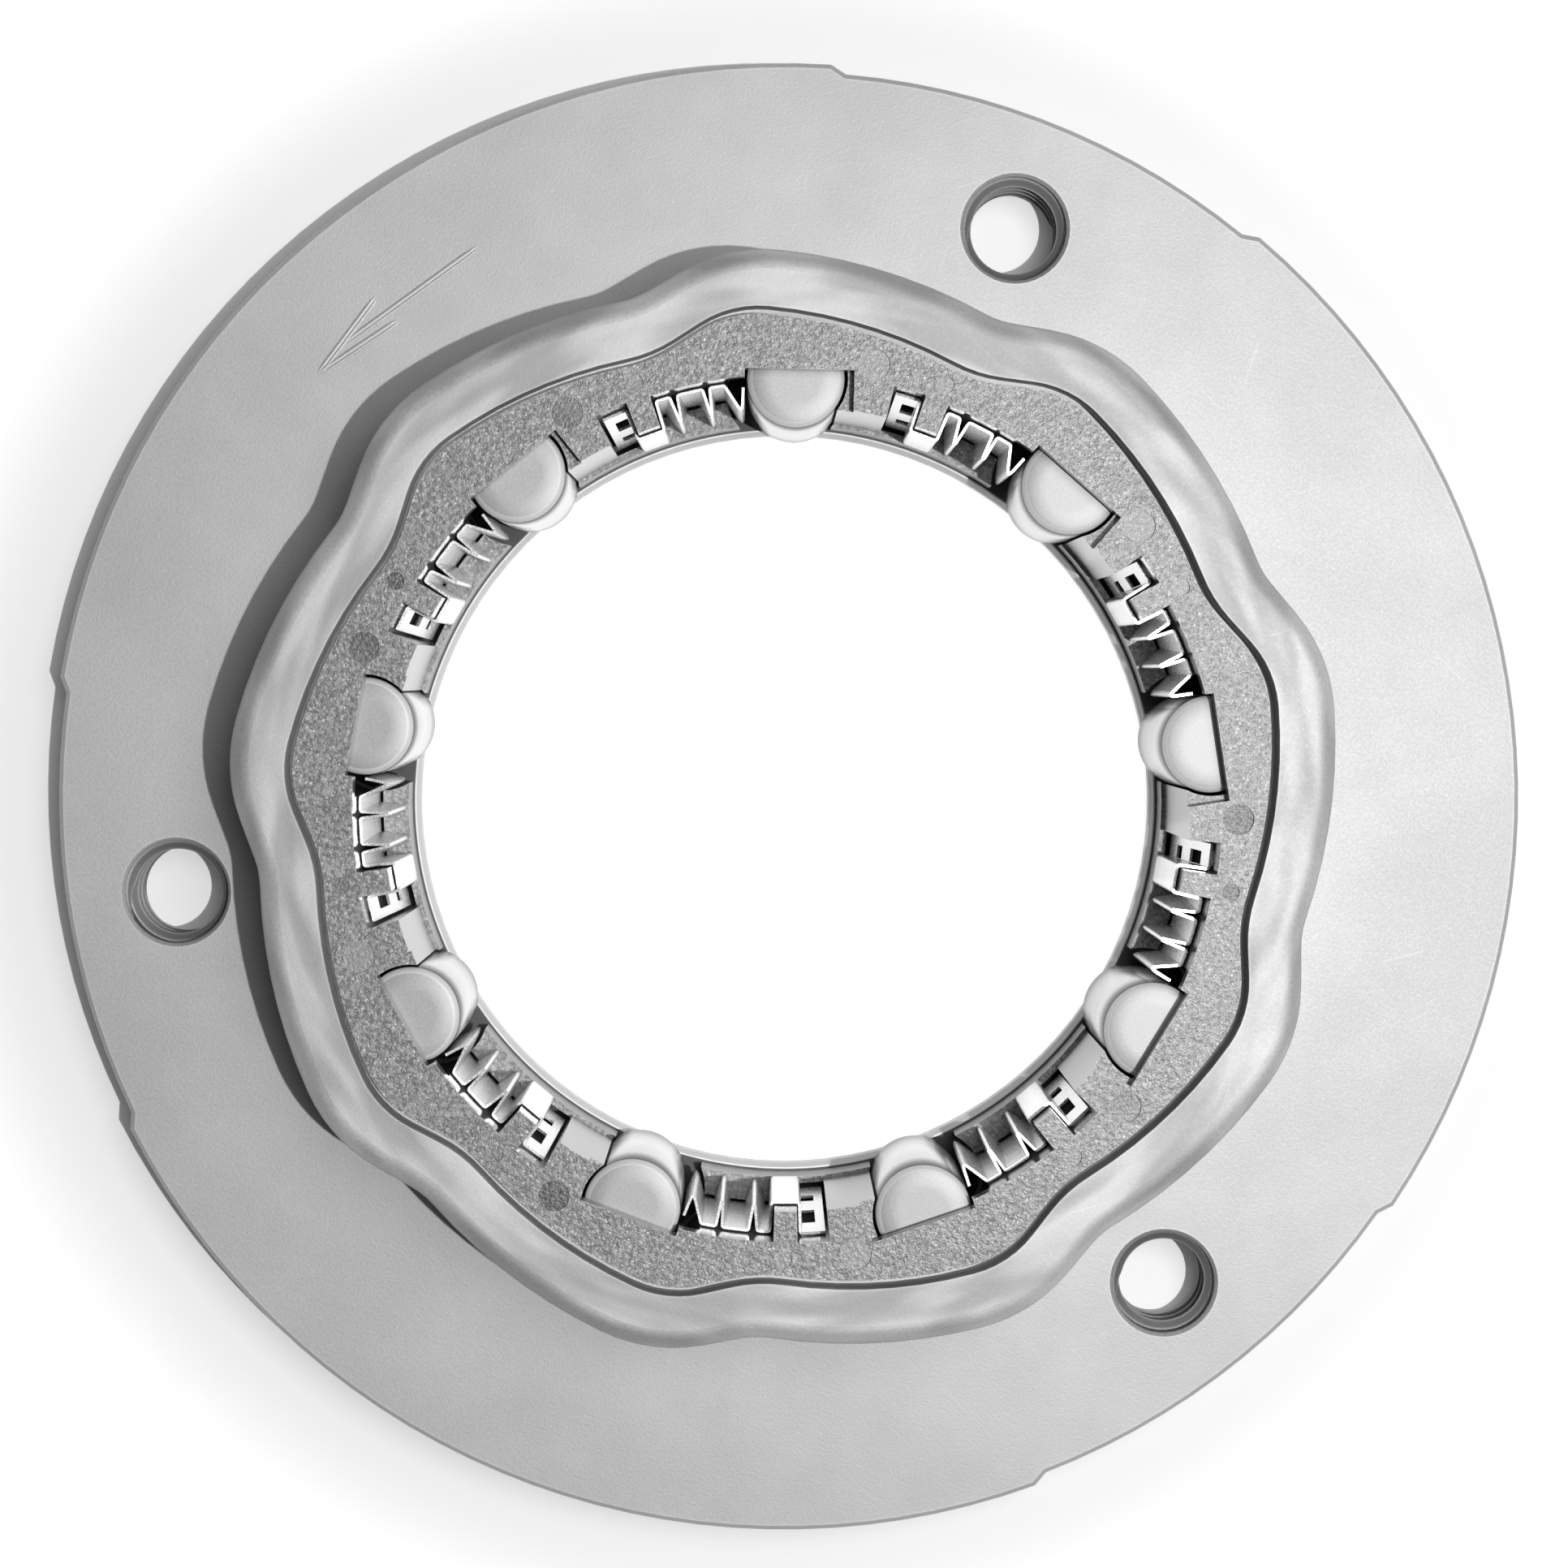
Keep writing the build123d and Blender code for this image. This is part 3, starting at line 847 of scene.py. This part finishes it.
def spring_plan(angle, share, chances):
    """Corners of a strip's middle line at a share of its height, from the tab to the last fold."""
    sizes = bpy.context.scene.clutch_sizes
    inner, outer = sizes.strip_inner_r, sizes.strip_outer_r
    tab_r = sizes.tab_low_r + (sizes.tab_top_r - sizes.tab_low_r) * share
    points = [
        polar(tab_r, angle + TAB_END),
        polar(tab_r, angle + POST_BACK),
        polar(sizes.hook_r, angle + POST_BACK),
        polar(sizes.hook_r, angle + POST_FRONT),
        polar(outer, angle + POST_FRONT - HOOK_LEAN),
    ]
    for fold, closing, (lean, shift, rise) in zip(FOLDS, CLOSINGS, chances):
        start, tip, end = fold
        start -= closing[0] * share
        end += closing[1] * share
        lean *= share - 0.5
        points.append(polar(outer, angle + start + shift + lean))
        points.append(polar(inner + rise, angle + tip + shift + FOLD_TIP))
        points.append(polar(inner + rise, angle + tip + shift - FOLD_TIP))
        points.append(polar(outer, angle + end + shift - lean))
    points.append(polar(outer, angle + LAST_FLAT_END))
    return points


def foot_plan(number, angle):
    """Corners of the foot leaf: the last fold's tip and the leaf's end beside the roller."""
    sizes = bpy.context.scene.clutch_sizes
    low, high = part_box(f"spring_foot_{number}")
    middle = (low + high) / 2
    radial = polar(1.0, angle)
    tangent = polar(1.0, angle + 90)
    reach = middle.dot(tangent)
    tip_r = sizes.strip_inner_r * FOOT_TIP_SHARE
    inner = radial * tip_r + tangent * (reach + FOOT_TIP_SHIFT)
    outer = radial * (sizes.strip_outer_r - FOOT_END_DEPTH) + tangent * reach
    return [Vector((inner.x, inner.y, 0)), Vector((outer.x, outer.y, 0))]


def spring_piece(number, material):
    """One folded strip from its slotted tab round the post and through the folds to its foot."""
    sizes = bpy.context.scene.clutch_sizes
    angle = station_angle(number)
    low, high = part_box(f"spring_{number}")
    bottom, top = low.z, high.z
    draw = random.Random(40 + number)
    leans = [draw.uniform(-LEAN_SPREAD, LEAN_SPREAD) for _ in FOLDS]
    shifts = [draw.uniform(-SHIFT_SPREAD, SHIFT_SPREAD) for _ in FOLDS]
    rises = [draw.uniform(0.0, RISE_MOST) for _ in FOLDS]
    chances = list(zip(leans, shifts, rises))
    rows = []
    for share in LEVELS:
        corners = spring_plan(angle, share, chances) + foot_plan(number, angle)
        route = rounded_route(corners, sizes.bend_r)
        tab = route[0].lerp(route[1], SLOT_START)
        route.insert(1, Vector((tab.x, tab.y, 0)))
        z = bottom + (top - bottom) * share
        rows.append([Vector((point.x, point.y, z)) for point in route])
    columns = len(rows[0])
    vertices = [vertex for row in rows for vertex in row]
    faces = []
    for face in grid_faces(len(rows), columns):
        row, column = divmod(face[0], columns)
        share = (LEVELS[row] + LEVELS[row + 1]) / 2
        if column in (1, 2) and any(start < share < end for start, end in TAB_SLOTS):
            continue
        faces.append(face)
    piece = new_piece(f"strip_spring_{number}", vertices, faces, material)
    thick = piece.modifiers.new("Strip", "SOLIDIFY")
    thick.thickness = sizes.strip_t
    thick.offset = 0.0
    thick.use_even_offset = True
    apply_modifiers(piece)
    piece.data.shade_smooth()
    piece.data.set_sharp_from_angle(angle=math.radians(40))
    return piece


def apply_modifiers(piece):
    """Bake a piece's modifiers into its mesh."""
    bpy.context.view_layer.update()
    graph = bpy.context.evaluated_depsgraph_get()
    baked = bpy.data.meshes.new_from_object(piece.evaluated_get(graph), depsgraph=graph)
    piece.modifiers.clear()
    piece.data = baked


class CLUTCH_OT_springs(bpy.types.Operator):
    """Fold the strip springs from tab to foot"""
    bl_idname = "clutch.springs"
    bl_label = "Springs"

    def execute(self, context):
        steel = finish("Bright spring strip", spring_steel)
        for number in range(1, STATIONS + 1):
            dress(f"spring_{number}", steel)
            dress(f"spring_foot_{number}", steel)
            piece = spring_piece(number, steel)
            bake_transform(piece)
            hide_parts(f"spring_{number}", f"spring_foot_{number}")
        return {"FINISHED"}


# Floor, light and camera

def floor_material():
    """Pale table: keeps the clutch's shadow round the flange and reads white round it; painted
    light washes out the shadow inside the bore.
    """
    colours = bpy.context.scene.clutch_colours
    material = bpy.data.materials.new("Pale table")
    material.use_nodes = True
    tree = material.node_tree
    tree.nodes.clear()
    cloud = noise(tree, object_place(tree), scale=6.0, detail=3.0)
    tone = remap(tree, cloud, 0.3, 0.7, 0.985, 1.0)
    radius = split_place(tree)[3]
    base = mix_colour(tree, 1.0, colours.floor, tone, "MULTIPLY")
    # Inside the bore the table is greyer, and the painted light below makes it read white
    base = mix_colour(tree, remap(tree, radius, *BORE_R), grey(0.45), base)
    matt = add_node(tree, "ShaderNodeBsdfDiffuse")
    link(tree, base, matt.inputs["Color"])
    glow = add_node(tree, "ShaderNodeEmission", {"Color": (1, 1, 1, 1)})
    # Painted light: inside the bore the table glows for the camera and in reflections, over the
    # wall's shadow
    inside = remap(tree, radius, BORE_R[1], BORE_R[0], 0.0, 0.88)
    # Painted light: from 45 mm out the table glows more, so that it reads white beyond the flange's
    # shadow
    outside = remap(tree, radius, *TABLE_GLOW_R, 0.06, 0.33)
    far = remap(tree, radius, *TABLE_FAR_R, 0.0, 0.8)
    glows = calculate(tree, "ADD", calculate(tree, "ADD", inside, outside), far)
    link(tree, glows, glow.inputs["Strength"])
    lit = add_node(tree, "ShaderNodeAddShader")
    link(tree, matt.outputs[0], lit.inputs[0])
    link(tree, glow.outputs[0], lit.inputs[1])
    path = add_node(tree, "ShaderNodeLightPath")
    seen = calculate(tree, "MAXIMUM", path.outputs["Is Camera Ray"], path.outputs["Is Glossy Ray"])
    seen = calculate(tree, "MAXIMUM", seen, path.outputs["Is Transmission Ray"])
    mixed = add_node(tree, "ShaderNodeMixShader")
    link(tree, seen, mixed.inputs[0])
    link(tree, matt.outputs[0], mixed.inputs[1])
    link(tree, lit.outputs[0], mixed.inputs[2])
    output = add_node(tree, "ShaderNodeOutputMaterial")
    link(tree, mixed.outputs[0], output.inputs["Surface"])
    return material


def set_surroundings(level):
    """Soft light from all round, white where the camera sees it."""
    world = bpy.data.worlds.new("Studio")
    bpy.context.scene.world = world
    world.use_nodes = True
    tree = world.node_tree
    tree.nodes.clear()
    path = add_node(tree, "ShaderNodeLightPath")
    plain = add_node(tree, "ShaderNodeBackground", {"Color": (1, 1, 1, 1), "Strength": level})
    white = add_node(tree, "ShaderNodeBackground", {"Color": (1, 1, 1, 1), "Strength": 1.0})
    mixed = add_node(tree, "ShaderNodeMixShader")
    link(tree, path.outputs["Is Camera Ray"], mixed.inputs[0])
    link(tree, plain.outputs[0], mixed.inputs[1])
    link(tree, white.outputs[0], mixed.inputs[2])
    output = add_node(tree, "ShaderNodeOutputWorld")
    link(tree, mixed.outputs[0], output.inputs["Surface"])


def add_lamp(name, watts, size, distance, azimuth, elevation):
    """Round lamp aimed at the clutch from a distance."""
    lamp = bpy.data.lights.new(name, "AREA")
    lamp.shape = "DISK"
    lamp.size = size
    lamp.energy = watts
    placed = bpy.data.objects.new(name, lamp)
    level = math.cos(elevation)
    direction = Vector((level * math.cos(azimuth), level * math.sin(azimuth), math.sin(elevation)))
    placed.location = direction * distance
    placed.rotation_euler = direction.to_track_quat("Z", "Y").to_euler()
    bpy.context.scene.collection.objects.link(placed)


TABLE_DROP = 0.02 * MM      # gap that keeps the table clear of the flange's underside

# The camera's right, up and back directions
CAMERA_AXES = (
    (0.928855, 0.370388, 0.006440),
    (-0.369901, 0.928295, -0.037968),
    (-0.020041, 0.032885, 0.999258),
)
SENSOR_W = 36.0
CLIP_START = 5 * MM


class CLUTCH_OT_stage(bpy.types.Operator):
    """Set up the table, the lamps, the surroundings and the camera"""
    bl_idname = "clutch.stage"
    bl_label = "Stage"

    def execute(self, context):
        stage = context.scene.clutch_stage
        half = stage.floor_size / 2
        corners = [(-half, -half, 0), (half, -half, 0), (half, half, 0), (-half, half, 0)]
        floor = new_piece("table", corners, [(0, 1, 2, 3)], floor_material())
        floor.location.z = -TABLE_DROP

        add_lamp("Main lamp", stage.key_power, stage.key_size,
                 stage.key_distance, stage.key_azimuth, stage.key_elevation)
        add_lamp("Soft lamp", stage.fill_power, stage.fill_size,
                 stage.fill_distance, stage.fill_azimuth, stage.fill_elevation)
        set_surroundings(stage.surroundings)

        camera = bpy.data.cameras.new("Camera")
        camera.lens = stage.lens
        camera.sensor_width = SENSOR_W
        camera.clip_start = CLIP_START
        camera_object = bpy.data.objects.new("Camera", camera)
        axes = Matrix(CAMERA_AXES).transposed().to_4x4()
        camera_object.matrix_world = Matrix.Translation(Vector(stage.camera_place)) @ axes
        context.scene.collection.objects.link(camera_object)
        context.scene.camera = camera_object
        context.scene.view_settings.view_transform = "Standard"
        return {"FINISHED"}


class CLUTCH_PT_parts(bpy.types.Panel):
    """Sizes, colours and operators of the clutch"""
    bl_label = "One-way roller clutch"
    bl_idname = "CLUTCH_PT_parts"
    bl_space_type = "VIEW_3D"
    bl_region_type = "UI"
    bl_category = "Clutch"

    def draw(self, context):
        for operator in OPERATORS:
            self.layout.operator(operator.bl_idname)
        scene = context.scene
        for group in (scene.clutch_sizes, scene.clutch_colours, scene.clutch_stage):
            column = self.layout.column(align=True)
            for name in group.__annotations__:
                column.prop(group, name)


OPERATORS = (CLUTCH_OT_ring, CLUTCH_OT_cage, CLUTCH_OT_rollers, CLUTCH_OT_springs, CLUTCH_OT_stage)
GROUPS = (ClutchSizes, ClutchColours, ClutchStage)


def register():
    for group in GROUPS:
        bpy.utils.register_class(group)
    bpy.types.Scene.clutch_sizes = PointerProperty(type=ClutchSizes)
    bpy.types.Scene.clutch_colours = PointerProperty(type=ClutchColours)
    bpy.types.Scene.clutch_stage = PointerProperty(type=ClutchStage)
    for operator in OPERATORS:
        bpy.utils.register_class(operator)
    bpy.utils.register_class(CLUTCH_PT_parts)


def unregister():
    bpy.utils.unregister_class(CLUTCH_PT_parts)
    for operator in reversed(OPERATORS):
        bpy.utils.unregister_class(operator)
    del bpy.types.Scene.clutch_stage
    del bpy.types.Scene.clutch_colours
    del bpy.types.Scene.clutch_sizes
    for group in reversed(GROUPS):
        bpy.utils.unregister_class(group)


def main():
    register()
    bpy.ops.clutch.ring()
    bpy.ops.clutch.cage()
    bpy.ops.clutch.rollers()
    bpy.ops.clutch.springs()
    bpy.ops.clutch.stage()


if __name__ == "__main__":
    main()
